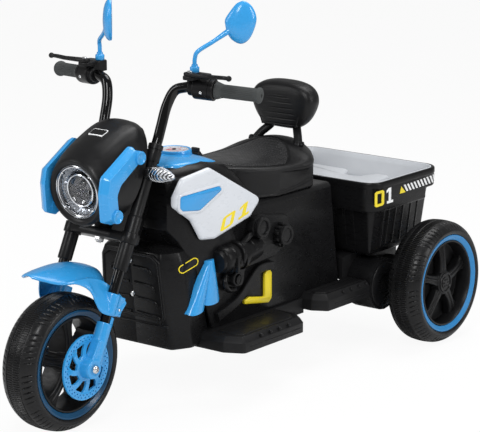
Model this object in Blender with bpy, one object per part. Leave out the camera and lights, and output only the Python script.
"""Child's electric ride-on motorcycle with three wheels, built piece by piece.

Frame: metres, +Z up, the front wheel towards -Y, the rider's left towards +X. The origin is on the
floor, midway between the axles. Every piece is its own object, and the pieces that turn hang under
empties or carry their origin on their own axis.
"""
import math

import bmesh
import bpy
from mathutils import Matrix, Vector

# Clearances
GAP = 0.0003            # between pieces that touch
RUNNING = 0.0006        # round an axle or a stem, and beside what turns on it
WALL = 0.0030           # moulded shells

# Wheels
WHEELBASE = 0.847
TYRE_RADIUS = 0.120
TYRE_HALF_WIDTH = 0.037
TYRE_WALL = 0.0040
SIDEWALL = 0.0245       # height of the tyre over the rim
BEAD_RADIUS = TYRE_RADIUS - SIDEWALL
RIM_WIDTH = 0.0110      # coloured rim, measured along the radius
RIM_RECESS = 0.0014     # how far the rim lies inside the tyre's side
BARREL_WALL = 0.0042
SPOKES = 5
SPOKE_WIDTH = 0.0150
SPOKE_DEPTH = 0.0200
SPOKE_RECESS = 0.0130   # from the tyre's side to the spokes
HUB_RADIUS = 0.0230
HUB_BACK = 0.0040       # inner end of the hub, from the tyre's side
HUB_CROWN = 0.0040      # how far the hub's middle stands out from the spokes
HUB_CAP = 0.0040        # closed outer end of a rear hub
NUT_THICK = 0.0060
NUT_RADIUS = 0.0090
REAR_TRACK_HALF = 0.206
AXLE_RADIUS = 0.0050
WHEEL_STEPS = 32
TUBE_STEPS = 12
FRONT_AXLE = Vector((0.0, -WHEELBASE / 2, TYRE_RADIUS))
REAR_AXLE = Vector((0.0, WHEELBASE / 2, TYRE_RADIUS))

# Steering: a leaning axis that passes behind the front axle
RAKE = math.radians(26.0)
AXIS_BEHIND_AXLE = 0.0080
AXIS_FOOT = FRONT_AXLE + Vector((0.0, AXIS_BEHIND_AXLE, 0.0))
AXIS_UP = Vector((0.0, math.sin(RAKE), math.cos(RAKE)))
AXIS_AHEAD = Vector((0.0, -math.cos(RAKE), math.sin(RAKE)))
LEG_SPREAD = 0.064
TUBE_RADIUS = 0.0092
SLEEVE_WALL = 0.0015
SLEEVE_STEP = 0.0018    # how much thicker the lower sleeve is
SLEEVE_LOW = 0.171      # heights along the steering axis from here on
SLEEVE_MID = 0.268
SLEEVE_TOP = 0.366
COLLAR_TOP = 0.398
TUBE_LOW = 0.046
CROWN_LOW = 0.221
CROWN_THICK = 0.015
YOKE_LOW = 0.337
YOKE_THICK = 0.014
STEM_RADIUS = 0.0080
NECK_WALL = 0.0060
FOOT_TOP = 0.078
FOOT_WALL = 0.0035
DISC_RADIUS = 0.0570
DISC_THICK = 0.0045
DISC_OUTER_X = 0.0590
FOOT_OUTER_X = 0.0780
DISC_WINDOWS = 8
BOLT_HEAD_RADIUS = 0.0072
BOLT_HEAD_THICK = 0.0060
FENDER_THICK = 0.0030
FENDER_CLEAR = 0.052    # crown of the fender above the tyre
FENDER_HALF_WIDTH = 0.050
FENDER_DROP = 0.022
BRACKET_LOW = 0.094
BRACKET_HIGH = 0.130

# Handlebars, placed from the foot of the steering axis
GRIP_END = AXIS_FOOT + Vector((0.2320, 0.2535, 0.4500))
BAR_BENDS = [AXIS_FOOT + Vector(place) for place in ((0.0650, 0.1875, 0.3900), (0.0680, 0.1985, 0.4230),
                                                     (0.0790, 0.2075, 0.4490))]
BAR_SWEEP = math.radians(17.0)
BAR_DROOP = math.radians(3.0)
BAR_STRAIGHT = 0.136
GRIP_LENGTH = 0.084
GRIP_RADIUS = 0.0118
GRIP_FLANGE = 0.0034
HOUSING_LENGTH = 0.038
HOUSING_RADIUS = 0.0190
LEVER_LENGTH = 0.084
LEVER_THICK = 0.0060
LEVER_ABOVE = 0.0060    # bottom of the lever above the switch housing's top
LEVER_AHEAD = 0.0260    # lever pivot in front of the bar
LEVER_INWARDS = 0.0130  # lever pivot inwards of the housing's middle
MIRROR_INWARDS = 0.0250 # mirror foot inwards of the housing's middle
PERCH_THICK = 0.0070
PIN_RADIUS = 0.0030
MIRROR_HEIGHT = 0.074
MIRROR_WIDTH = 0.058
MIRROR_THICK = 0.016
MIRROR_STEM_RADIUS = 0.0037
MIRROR_TOE_OUT = math.radians(38.0)
MIRROR_CENTRE = AXIS_FOOT + Vector((0.161, 0.2865, 0.5648))
MIRROR_RIGHT_TURN = math.radians(-88.0)    # how far round its foot the right mirror is set
BUTTON_RADIUS = 0.0050
BUTTON_TRAVEL = 0.0020
BUTTON_DEEP = 0.0070

# Front cowl and lamp
RIM_CENTRE = AXIS_FOOT + Vector((0.0, 0.0365, 0.2880))
RIM_RADIUS = 0.059
RIM_TILT = math.radians(-7.0)
COWL_HALF_WIDTH = 0.0725
BRACKET_FACE = 0.0780
COWL_BACK = 0.0200      # cowl's rear edge in front of the steering axis
LENS_RADIUS = 0.0460
LAMP_DEPTH = 0.030
SIGNAL_LENGTH = 0.053
SIGNAL_RADIUS = 0.0142
SIGNAL_AHEAD = 0.0130
SIGNAL_START = LEG_SPREAD + 0.0195

# Body, placed along the bike from the axles
BODY_HALF_WIDTH = 0.0960
BODY_FRONT = FRONT_AXLE.y + 0.2115
BODY_BACK = REAR_AXLE.y - 0.1535
SEAT_SEAM = 0.3350      # height where the seat lies on the body
SHELL_LOW = 0.1050
SHELL_TOP = 0.2860
SHELL_FRONT = FRONT_AXLE.y + 0.2005
SHELL_BACK = SHELL_FRONT + 0.0990
SHELL_HALF_WIDTH = 0.0790
DECK_LOW = 0.1000
DECK_TOP = 0.1280
BOARD_HALF_WIDTH = 0.180
BOARD_FRONT = SHELL_FRONT + 0.0630
BOARD_BACK = BOARD_FRONT + 0.2160
STEP_HALF_WIDTH = 0.150
STEP_BACK = REAR_AXLE.y - 0.1215
STEP_FRONT = STEP_BACK - 0.1670
STEP_TOP = 0.138
EDGE_CHAMFER = 0.010
CARRIER_HALF_WIDTH = 0.094
PANEL_PROUD = 0.014
PANEL_LEAN = 0.100      # how much the tank wings close in, per length forwards
PANEL_LEAN_FROM = BODY_FRONT + 0.1520
SHIELD_PROUD = 0.012
GUARD_PROUD = 0.005
DIAL_RADIUS = 0.0262
DIAL_Y = BODY_FRONT + 0.0950
DIAL_TOP = 0.443
DIAL_THICK = 0.0085
COVER_HALF_WIDTH = 0.072
KEY_Y = DIAL_Y + 0.0610
KEY_STEM = 0.0045
KEY_SEAT = 0.4225       # underside of the key's skirt
PEDAL_X = -0.138
PEDAL_HEEL_Y = BOARD_BACK - 0.0860
PEDAL_LENGTH = 0.070
PEDAL_WIDTH = 0.046
PEDAL_RISE = 0.0150
PEDAL_PIN_RADIUS = 0.0016
PEDAL_PIN_Z = 0.1370

# Seat, backrest and rear box
SEAT_HALF_WIDTH = 0.105
SEAT_NOSE_Y = DIAL_Y + 0.0790
SEAT_REAR_Y = BODY_BACK - 0.0340
BACKREST_HALF_WIDTH = 0.072
BACKREST_HEIGHT = 0.087
BACKREST_THICK = 0.050
BACKREST_CENTRE = Vector((0.0, SEAT_REAR_Y - 0.0220, 0.476))
POST_RADIUS = 0.0080
POST_DEEP = 0.030
POST_SPREAD = 0.052
POST_Y = SEAT_REAR_Y - 0.0500
POST_Z = 0.402
TUB_HALF_WIDTH = 0.164
TUB_FRONT = REAR_AXLE.y - 0.1465
TUB_BACK = REAR_AXLE.y + 0.0845
TUB_TOP = 0.330
TUB_BAND = 0.036        # rim band all round
COLLAR_LOW = 0.272      # underside of the deeper collar below the band at the front and sides
COLLAR_STEP = 0.0020    # collar's face behind the band's
COLLAR_BACK = 0.0500    # collar's end in front of the band's back
TUB_STEP = 0.016        # how much narrower the bin is than its rim band
TUB_TAPER = 0.012       # how much the bin draws in towards its floor
TUB_LOW = 0.180
CARRIER_TOP = TUB_LOW - GAP
LINER_RIM = 0.0060      # width of the black edge round the liner
LINER_FLOOR = 0.200
BENCH_TOP = 0.288

SIDES = {"left": 1, "right": -1}

BLUE = ("blue_plastic", (0.03, 0.33, 0.80), 0.30, 0.0)
BLACK = ("black_plastic", (0.022, 0.022, 0.024), 0.45, 0.0)
GREY = ("pale_grey_plastic", (0.60, 0.61, 0.63), 0.40, 0.0)
WHITE = ("panel_grey_white", (0.74, 0.76, 0.79), 0.35, 0.0)
YELLOW = ("yellow_plastic", (0.80, 0.68, 0.03), 0.40, 0.0)
TYRE = ("tyre", (0.035, 0.036, 0.038), 0.55, 0.0)
GLOSS = ("black_enamel_tube", (0.01, 0.01, 0.01), 0.12, 0.0)
STEEL = ("zinc_steel", (0.62, 0.62, 0.62), 0.30, 1.0)
CLEAR = ("clear_lens", (0.85, 0.87, 0.90), 0.05, 0.0)
SILVER = ("lamp_silver", (0.55, 0.56, 0.58), 0.15, 1.0)
RUBBER = ("grip_rubber", (0.045, 0.046, 0.048), 0.60, 0.0)
VINYL = ("seat_vinyl", (0.030, 0.030, 0.032), 0.50, 0.0)


def steer(x, ahead, up):
    """Point given from the steering axis: sideways, in front of it, and up along it."""
    return AXIS_FOOT + Vector((x, 0.0, 0.0)) + AXIS_AHEAD * ahead + AXIS_UP * up


def clear_scene():
    """Remove whatever the file opened with."""
    for obj in list(bpy.data.objects):
        bpy.data.objects.remove(obj, do_unlink=True)


def material(spec):
    """Principled material for one (name, colour, roughness, metallic) finish."""
    name, colour, roughness, metallic = spec
    found = bpy.data.materials.get(name)
    if found:
        return found
    made = bpy.data.materials.new(name)
    made.use_nodes = True
    shader = made.node_tree.nodes["Principled BSDF"]
    shader.inputs["Base Color"].default_value = (*colour, 1.0)
    shader.inputs["Roughness"].default_value = roughness
    shader.inputs["Metallic"].default_value = metallic
    return made


def empty(name, place):
    """Pivot that carries the pieces of one moving group."""
    pivot = bpy.data.objects.new(name, None)
    pivot.location = place
    bpy.context.scene.collection.objects.link(pivot)
    return pivot


def add(name, shape, finish, pivot=None, origin=(0.0, 0.0, 0.0)):
    """Make an object of a mesh given in world coordinates, with its origin where asked."""
    bmesh.ops.recalc_face_normals(shape, faces=shape.faces)
    base = Vector(origin)
    bmesh.ops.translate(shape, verts=shape.verts, vec=-base)
    mesh = bpy.data.meshes.new(name)
    shape.to_mesh(mesh)
    shape.free()
    mesh.materials.append(material(finish))
    mesh.shade_smooth()
    mesh.set_sharp_from_angle(angle=math.radians(32.0))
    obj = bpy.data.objects.new(name, mesh)
    bpy.context.scene.collection.objects.link(obj)
    obj.location = base
    if pivot:
        obj.parent = pivot
        obj.location = base - pivot.location
    return obj


def add_pair(name, shape, finish, pivot=None, origin=(0.0, 0.0, 0.0)):
    """Make the left piece of a shape given on the +X side, and its mirror image on the right."""
    base = Vector(origin)
    add(name + "_right", mirrored(shape), finish, pivot, (-base.x, base.y, base.z))
    add(name + "_left", shape, finish, pivot, base)


def loft(loops):
    """Skin between loops of equal length, with a cap on each end."""
    shape = bmesh.new()
    rows = [[shape.verts.new(point) for point in loop] for loop in loops]
    count = len(rows[0])
    for low, high in zip(rows, rows[1:]):
        for i in range(count):
            j = (i + 1) % count
            shape.faces.new((low[i], low[j], high[j], high[i]))
    shape.faces.new(rows[0])
    shape.faces.new(rows[-1])
    bmesh.ops.recalc_face_normals(shape, faces=shape.faces)
    return shape


def basis(axis):
    """Two unit vectors square to an axis and to each other."""
    along = Vector(axis).normalized()
    hint = Vector((0, 0, 1)) if abs(along.z) < 0.9 else Vector((0, 1, 0))
    across = hint.cross(along).normalized()
    return across, along.cross(across)


def turned(profile, centre, axis, steps=WHEEL_STEPS, phase=0.0, flats_at_radius=False):
    """Turn a closed profile of (radius, place along the axis) round the axis.

    With flats_at_radius the middle of each flat, not its edges, lies on the radius, so that the
    piece rests on a flat at its true height.
    """
    along = Vector(axis).normalized()
    across, up = basis(along)
    grow = 1.0 / math.cos(math.pi / steps) if flats_at_radius else 1.0
    shape = bmesh.new()
    rows = []
    for radius, place in profile:
        middle = Vector(centre) + along * place
        if radius == 0.0:
            rows.append([shape.verts.new(middle)])
            continue
        ring = []
        for i in range(steps):
            angle = 2.0 * math.pi * (i + phase) / steps
            arm = across * math.cos(angle) + up * math.sin(angle)
            ring.append(shape.verts.new(middle + arm * radius * grow))
        rows.append(ring)
    on_axis = profile[0][0] == 0.0 and profile[-1][0] == 0.0
    pairs = list(zip(rows, rows[1:])) + ([] if on_axis else [(rows[-1], rows[0])])
    for low, high in pairs:
        for i in range(steps):
            j = (i + 1) % steps
            corners = [low[i % len(low)], low[j % len(low)], high[j % len(high)], high[i % len(high)]]
            unique = list(dict.fromkeys(corners))
            if len(unique) > 2:
                shape.faces.new(unique)
    bmesh.ops.recalc_face_normals(shape, faces=shape.faces)
    return shape


def rod(start, end, radius, steps=TUBE_STEPS, end_radius=None):
    """Round bar or cone between two points."""
    start, end = Vector(start), Vector(end)
    length = (end - start).length
    last = radius if end_radius is None else end_radius
    profile = [(0.0, 0.0), (radius, 0.0), (last, length), (0.0, length)]
    return turned(profile, start, end - start, steps)


def smooth_path(points, per_span=4):
    """Catmull-Rom curve through the points, with its ends kept."""
    nodes = [Vector(p) for p in points]
    nodes = [nodes[0] * 2 - nodes[1]] + nodes + [nodes[-1] * 2 - nodes[-2]]
    path = []
    for a, b, c, d in zip(nodes, nodes[1:], nodes[2:], nodes[3:]):
        for k in range(per_span):
            t = k / per_span
            path.append(0.5 * ((2 * b) + (c - a) * t + (2 * a - 5 * b + 4 * c - d) * t * t
                               + (3 * b - a - 3 * c + d) * t ** 3))
    path.append(nodes[-2])
    return path


def swept(path, radius, steps=TUBE_STEPS):
    """Round tube of one radius, or of a radius for each point, along a path."""
    radii = radius if isinstance(radius, (list, tuple)) else [radius] * len(path)
    loops = []
    side = None
    for i, point in enumerate(path):
        ahead = (path[min(i + 1, len(path) - 1)] - path[max(i - 1, 0)]).normalized()
        side = basis(ahead)[0] if side is None else (side - ahead * side.dot(ahead)).normalized()
        up = ahead.cross(side)
        loops.append([point + (side * math.cos(a) + up * math.sin(a)) * radii[i]
                      for a in (2 * math.pi * k / steps for k in range(steps))])
    return loft(loops)


def rounded(points, radius, steps=3):
    """Closed outline with each corner turned into an arc; radius may be one value or one a corner."""
    radii = radius if isinstance(radius, (list, tuple)) else [radius] * len(points)
    outline = []
    count = len(points)
    for i, corner in enumerate(points):
        here = Vector(corner)
        to_last = (Vector(points[i - 1]) - here)
        to_next = (Vector(points[(i + 1) % count]) - here)
        if radii[i] <= 0.0:
            outline.append(here)
            continue
        a, b = to_last.normalized(), to_next.normalized()
        half = math.acos(max(-1.0, min(1.0, a.dot(b)))) / 2.0
        reach = min(radii[i] / math.tan(half), to_last.length * 0.49, to_next.length * 0.49)
        bend = reach * math.tan(half)
        middle = here + (a + b).normalized() * math.hypot(reach, bend)
        first = here + a * reach - middle
        last = here + b * reach - middle
        sweep = first.angle_signed(last)
        for k in range(steps + 1):
            turn = Matrix.Rotation(-sweep * k / steps, 2)
            outline.append(middle + turn @ first)
    return outline


def shrunk(outline, amount):
    """Outline moved inwards by amount; a negative amount grows it."""
    area = sum(a.x * b.y - b.x * a.y for a, b in zip(outline, outline[1:] + outline[:1]))
    sign = 1.0 if area > 0 else -1.0
    result = []
    for i, here in enumerate(outline):
        before, after = outline[i - 1], outline[(i + 1) % len(outline)]
        a = (here - before).normalized()
        b = (after - here).normalized()
        normal = Vector((-a.y - b.y, a.x + b.x))
        normal = normal.normalized() * sign
        edge = Vector((-a.y, a.x)) * sign
        result.append(here + normal * (amount / max(0.3, normal.dot(edge))))
    return result


def plan(corners, radius, inset=0.0, steps=3):
    """Rounded outline of straight corners, moved inwards by inset with its corners kept round."""
    drawn = shrunk([Vector(corner) for corner in corners], inset)
    radii = radius if isinstance(radius, (list, tuple)) else [radius] * len(drawn)
    return rounded(drawn, [max(r - inset, 0.0010) for r in radii], steps)


def in_plane(outline, axis, place):
    """Lay a flat outline in space: axis x takes (y, z), axis y takes (x, z), axis z takes (x, y)."""
    if axis == "x":
        return [Vector((place, p[0], p[1])) for p in outline]
    if axis == "y":
        return [Vector((p[0], place, p[1])) for p in outline]
    return [Vector((p[0], p[1], place)) for p in outline]


def slab(outline, axis, low, high, chamfer=0.0):
    """Plate of an outline between two places, with its far edge chamfered where asked."""
    loops = [in_plane(outline, axis, low), in_plane(outline, axis, high)]
    if chamfer:
        back = math.copysign(chamfer, high - low)
        loops[1] = in_plane(outline, axis, high - back)
        loops.append(in_plane(shrunk(outline, chamfer), axis, high))
    return loft(loops)


def mirrored(shape):
    """Copy of a shape on the other side of the bike."""
    copy = shape.copy()
    for vert in copy.verts:
        vert.co.x = -vert.co.x
    bmesh.ops.reverse_faces(copy, faces=copy.faces)
    return copy


def combined(base, tools, operation):
    """Boolean of closed shapes, worked out at once; the tools are used up."""
    objects = []
    for shape in [base] + list(tools):
        bmesh.ops.recalc_face_normals(shape, faces=shape.faces)
        mesh = bpy.data.meshes.new("working")
        shape.to_mesh(mesh)
        shape.free()
        obj = bpy.data.objects.new("working", mesh)
        bpy.context.scene.collection.objects.link(obj)
        objects.append(obj)
    for tool in objects[1:]:
        step = objects[0].modifiers.new("step", "BOOLEAN")
        step.operation = operation
        step.solver = "EXACT"
        step.object = tool
    result = objects[0].evaluated_get(bpy.context.evaluated_depsgraph_get())
    shape = bmesh.new()
    shape.from_mesh(result.to_mesh())
    result.to_mesh_clear()
    for obj in objects:
        mesh = obj.data
        bpy.data.objects.remove(obj, do_unlink=True)
        bpy.data.meshes.remove(mesh)
    bmesh.ops.remove_doubles(shape, verts=shape.verts, dist=2e-7)
    return shape


def joined(base, *tools):
    """Union of shapes that overlap."""
    return combined(base, tools, "UNION")


def cut(base, *tools):
    """Base with the tools taken away."""
    return combined(base, tools, "DIFFERENCE")


def common(base, *tools):
    """What all the shapes share."""
    return combined(base, tools, "INTERSECT")


def ring_profile(inner, outer, low, high):
    """Section of a plain ring."""
    return [(inner, low), (outer, low), (outer, high), (inner, high)]


# Wheels


def tyre_section():
    """Half-hollow tyre: outer skin and the inner skin one wall away, open towards the rim."""
    half, wall = TYRE_HALF_WIDTH, TYRE_WALL
    bead = BEAD_RADIUS + GAP
    height = TYRE_RADIUS - bead
    shoulder = bead + 0.62 * height
    outer = [(bead, half - 0.0022), (shoulder, half), (TYRE_RADIUS, half - 0.0220)]
    inner = [(shoulder - wall * 0.4, half - wall), (bead, half - 0.0022 - wall)]
    skin = outer + [(r, -x) for r, x in reversed(outer)]
    hollow = [(r, -x) for r, x in reversed(inner)] + inner
    return skin + hollow


def spoke(angle, centre, outward):
    """One flared arm from the hub's middle to its barrel."""
    reach = BEAD_RADIUS - RIM_WIDTH - BARREL_WALL + 0.001
    face = TYRE_HALF_WIDTH - SPOKE_RECESS
    arm = Vector((0.0, math.cos(angle), math.sin(angle)))
    side = Vector((0.0, -math.sin(angle), math.cos(angle)))
    loops = []
    for distance, width, front in ((HUB_RADIUS * 0.6, 0.8, face), (0.60 * reach, 0.75, face - 0.003),
                                   (reach, 1.5, face - 0.006)):
        half = SPOKE_WIDTH * width / 2
        middle = Vector(centre) + arm * distance
        section = [(-1, front - SPOKE_DEPTH), (1, front - SPOKE_DEPTH), (1, front), (-1, front)]
        loops.append([middle + side * s * half + Vector((outward * x, 0.0, 0.0)) for s, x in section])
    return loft(loops)


def wheel(label, centre, outward, capped):
    """Tyre, coloured rim and spoked hub of one wheel; a capped hub hides the end of its axle."""
    pivot = empty(label + "_pivot", centre)
    axis = Vector((outward, 0.0, 0.0))
    tyre = turned(tyre_section(), centre, (1, 0, 0), phase=0.5, flats_at_radius=True)
    add(label + "_tyre", tyre, TYRE, pivot, centre)
    side = TYRE_HALF_WIDTH - RIM_RECESS
    inner = BEAD_RADIUS - RIM_WIDTH
    rim = turned(ring_profile(inner, BEAD_RADIUS, -side, side), centre, (1, 0, 0))
    add(label + "_rim", rim, BLUE, pivot, centre)
    barrel = ring_profile(inner - GAP - BARREL_WALL, inner - GAP, -side, side)
    back = -TYRE_HALF_WIDTH + HUB_BACK
    face = TYRE_HALF_WIDTH - SPOKE_RECESS + HUB_CROWN
    middle = rod(centre + axis * back, centre + axis * face, HUB_RADIUS, 16)
    arms = [spoke(math.pi / 2 + 2 * math.pi * i / SPOKES, centre, outward) for i in range(SPOKES)]
    hub = joined(turned(barrel, centre, (1, 0, 0)), middle, *arms)
    past = 0.01
    bore_end = face - HUB_CAP if capped else face + past
    bores = [rod(centre + axis * (back - past), centre + axis * bore_end, AXLE_RADIUS + RUNNING)]
    if capped:
        nut_room = bore_end - NUT_THICK - 2 * RUNNING
        bores.append(rod(centre + axis * nut_room, centre + axis * (bore_end + 0.0001),
                         NUT_RADIUS + RUNNING, 14))
    add(label + "_hub", cut(hub, *bores), BLACK, pivot, centre)


def front_wheel():
    """Front wheel in the fork; it is moved to the steering body by the joints alone."""
    wheel("front_wheel", FRONT_AXLE, 1, False)


def rear_wheels():
    """Two driven wheels at the back."""
    for side, sign in SIDES.items():
        wheel("rear_" + side + "_wheel", REAR_AXLE + Vector((sign * REAR_TRACK_HALF, 0, 0)), sign, True)


# Fork and steering head


def leg_line(low, high, radius, steps=TUBE_STEPS, sign=1):
    """Round bar on a fork leg's axis between two heights."""
    return rod(steer(sign * LEG_SPREAD, 0, low), steer(sign * LEG_SPREAD, 0, high), radius, steps)


def clamp_plate(low, thick, half_width, ahead, behind):
    """Plate across both legs, square to the steering axis, with its front corners cut back."""
    outline = rounded([(-half_width, -behind), (half_width, -behind), (half_width, ahead * 0.55),
                       (half_width * 0.45, ahead), (-half_width * 0.45, ahead), (-half_width,
                                                                                 ahead * 0.55)],
                      0.008, 2)
    return loft([[steer(p.x, p.y, up) for p in outline] for up in (low, low + thick)])


def fork_frame(pivot):
    """Moulded fork head: stepped sleeves on both sides, the crown, the yoke and the signal stubs."""
    bore = TUBE_RADIUS + GAP
    upper = bore + SLEEVE_WALL
    lower = upper + SLEEVE_STEP
    collar = upper + 0.0020
    profile = [(0.0, SLEEVE_LOW), (lower, SLEEVE_LOW), (lower, SLEEVE_MID), (upper, SLEEVE_MID + 0.002),
               (upper, SLEEVE_TOP), (collar, SLEEVE_TOP + 0.003), (collar, COLLAR_TOP), (0.0, COLLAR_TOP)]
    reach = COWL_BACK - GAP
    crown = clamp_plate(CROWN_LOW, CROWN_THICK, LEG_SPREAD + 0.014, reach, 0.016)
    yoke = clamp_plate(YOKE_LOW, YOKE_THICK, LEG_SPREAD + 0.010, reach, 0.015)
    middle = YOKE_LOW + YOKE_THICK / 2
    parts = [yoke]
    holes = [rod(steer(0, 0, CROWN_LOW - 0.02), steer(0, 0, YOKE_LOW + 0.03), STEM_RADIUS + GAP)]
    for sign in (1, -1):
        parts.append(turned(profile, steer(sign * LEG_SPREAD, 0, 0), AXIS_UP, 16))
        parts.append(rod(steer(sign * (LEG_SPREAD - 0.004), SIGNAL_AHEAD, middle),
                         steer(sign * (SIGNAL_START - GAP), SIGNAL_AHEAD, middle), 0.0065, 10))
        holes.append(leg_line(SLEEVE_LOW - 0.02, COLLAR_TOP + 0.02, bore, TUBE_STEPS, sign))
    add("fork_frame", cut(joined(crown, *parts), *holes), BLACK, pivot, AXIS_FOOT)


def steering_stem(pivot):
    """Bolt through crown, neck and yoke, with its head below and its nut on top."""
    top = YOKE_LOW + YOKE_THICK
    head, nut = 0.0070, 0.0080
    profile = [(0.0, CROWN_LOW - GAP - head), (0.0125, CROWN_LOW - GAP - head), (0.0125, CROWN_LOW - GAP),
               (STEM_RADIUS, CROWN_LOW - GAP), (STEM_RADIUS, top + GAP), (0.0130, top + GAP),
               (0.0130, top + GAP + nut), (0.0, top + GAP + nut)]
    add("steering_stem", turned(profile, AXIS_FOOT, AXIS_UP, TUBE_STEPS), STEEL, pivot, AXIS_FOOT)


def fork_feet(pivot):
    """Blue fork ends, each with its windowed brake-disc cover moulded in one."""
    grip = TUBE_RADIUS + GAP + FOOT_WALL
    inner_x = DISC_OUTER_X - DISC_THICK
    disc = rod(FRONT_AXLE + Vector((inner_x, 0, 0)), FRONT_AXLE + Vector((DISC_OUTER_X, 0, 0)), DISC_RADIUS,
               28)
    windows = []
    for i in range(DISC_WINDOWS):
        first = 2 * math.pi * (i + 0.5) / DISC_WINDOWS
        corners = []
        for radius, turn in ((0.46, 0.00), (0.78, 0.30), (0.78, 0.72), (0.46, 0.50)):
            angle = first + turn
            corners.append((FRONT_AXLE.y + DISC_RADIUS * radius * math.cos(angle),
                            FRONT_AXLE.z + DISC_RADIUS * radius * math.sin(angle)))
        windows.append(slab([Vector(c) for c in corners], "x", inner_x - 0.01, DISC_OUTER_X + 0.002))
    disc = cut(disc, *windows)
    boss = rod(FRONT_AXLE + Vector((inner_x, 0, 0)), FRONT_AXLE + Vector((FOOT_OUTER_X, 0, 0)), 0.0200, 16)
    socket = leg_line(0.012, FOOT_TOP, grip)
    web = loft([[steer(x, f, up) for x, f in ((inner_x + 0.001, -0.010), (FOOT_OUTER_X - 0.002, -0.010),
                                              (FOOT_OUTER_X - 0.002, 0.018), (inner_x + 0.001, 0.018))]
                for up in (0.0, 0.040)])
    tube = leg_line(TUBE_LOW - GAP, FOOT_TOP + 0.02, TUBE_RADIUS + GAP)
    bore = rod(FRONT_AXLE, FRONT_AXLE + Vector((0.1, 0, 0)), AXLE_RADIUS + GAP)
    add_pair("fork_foot", cut(joined(disc, boss, socket, web), tube, bore), BLUE, pivot, AXIS_FOOT)


def front_axle(pivot):
    """Through bolt of the front wheel, with a collar on each side of the hub and domed ends."""
    end = FOOT_OUTER_X + GAP
    inner = DISC_OUTER_X - DISC_THICK - GAP
    back = TYRE_HALF_WIDTH - HUB_BACK + RUNNING
    face = TYRE_HALF_WIDTH - SPOKE_RECESS + HUB_CROWN + RUNNING
    collar, head, rise = 0.0085, BOLT_HEAD_RADIUS, BOLT_HEAD_THICK
    profile = [(0.0, -end - rise), (head, -end - rise), (head, -end), (AXLE_RADIUS, -end),
               (AXLE_RADIUS, -inner), (collar, -inner), (collar, -back), (AXLE_RADIUS, -back),
               (AXLE_RADIUS, face), (collar, face), (collar, inner), (AXLE_RADIUS, inner), (AXLE_RADIUS,
                                                                                            end),
               (head, end), (head * 0.9, end + rise * 0.7), (head * 0.5, end + rise), (0.0, end + rise)]
    add("front_axle", turned(profile, FRONT_AXLE, (1, 0, 0), TUBE_STEPS), STEEL, pivot, AXIS_FOOT)


def arch_point(angle, radius, x):
    """Point over the front wheel: angle from straight up, positive towards the front."""
    return FRONT_AXLE + Vector((x, -radius * math.sin(angle), radius * math.cos(angle)))


def fender_sheet(lift):
    """Loops across the fender from its beak to its tail, moved inwards by lift."""
    stations = [(25.8, 0.10, 0.016, 0.2), (22.5, 0.50, 0.012, 0.5), (16.5, 0.84, 0.006, 0.85),
                (7.0, 1.0, 0.001, 1.0), (-6.0, 1.0, 0.000, 1.0), (-18.0, 0.97, 0.000, 1.0),
                (-29.0, 0.74, 0.000, 0.9)]
    rows = []
    for degrees, width, rise, drop in stations:
        angle = math.radians(degrees)
        row = []
        for k in range(7):
            u = -1.0 + k / 3.0
            bow = FENDER_DROP * drop * abs(u) ** 2.2
            radius = TYRE_RADIUS + FENDER_CLEAR + rise - bow - lift
            half = FENDER_HALF_WIDTH * width - lift * abs(u)
            row.append(arch_point(angle, radius, u * half))
        rows.append(row)
    return rows


def front_fender(pivot):
    """Beaked mudguard with side arms that clamp round the fork tubes."""
    outer, inner = fender_sheet(0.0), fender_sheet(FENDER_THICK)
    hood = loft([a + list(reversed(b)) for a, b in zip(outer, inner)])
    hold = TUBE_RADIUS + GAP
    arms = []
    for sign in (1, -1):
        flank = rounded([(FRONT_AXLE.y + back, FRONT_AXLE.z + TYRE_RADIUS + up) for back, up in
                         ((-0.0105, 0.026), (0.0615, 0.036), (0.0835, 0.004), (0.0715, -0.034),
                          (0.0375, -0.040), (0.0135, -0.008))], 0.006, 1)
        low_x, high_x = sign * (FENDER_HALF_WIDTH - 0.0060), sign * (FENDER_HALF_WIDTH + 0.0020)
        arms.append(slab(flank, "x", low_x, high_x))
        arms.append(leg_line(BRACKET_LOW, BRACKET_HIGH, hold + 0.0040, TUBE_STEPS, sign))
        wing = loft([[steer(sign * x, f, up) for x, f in ((0.052, -0.034), (0.074, -0.020), (0.074, 0.004),
                                                           (0.052, 0.016))]
                     for up in (BRACKET_LOW + 0.002, BRACKET_HIGH - 0.002)])
        arms.append(wing)
    holes = [leg_line(BRACKET_LOW - 0.03, BRACKET_HIGH + 0.03, hold, TUBE_STEPS, s) for s in (1, -1)]
    add("front_fender", cut(joined(hood, *arms), *holes), BLUE, pivot, AXIS_FOOT)


# Cowl, lamp and signals


def cowl_section(centre_y, centre_z, half, up, down, tilt, square, count=24):
    """Rounded section of the cowl in a plane tilted about X."""
    rise = Vector((0.0, math.sin(tilt), math.cos(tilt)))
    middle = Vector((0.0, centre_y, centre_z))
    loop = []
    for k in range(count):
        angle = 2 * math.pi * k / count
        c, s = math.cos(angle), math.sin(angle)
        power = 2.0 / (2.0 + square)
        height = up if s > 0 else down
        side = math.copysign(abs(c) ** power, c)
        tall = math.copysign(abs(s) ** power, s)
        loop.append(middle + Vector((half * side, 0, 0)) + rise * height * tall)
    return loop


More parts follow.
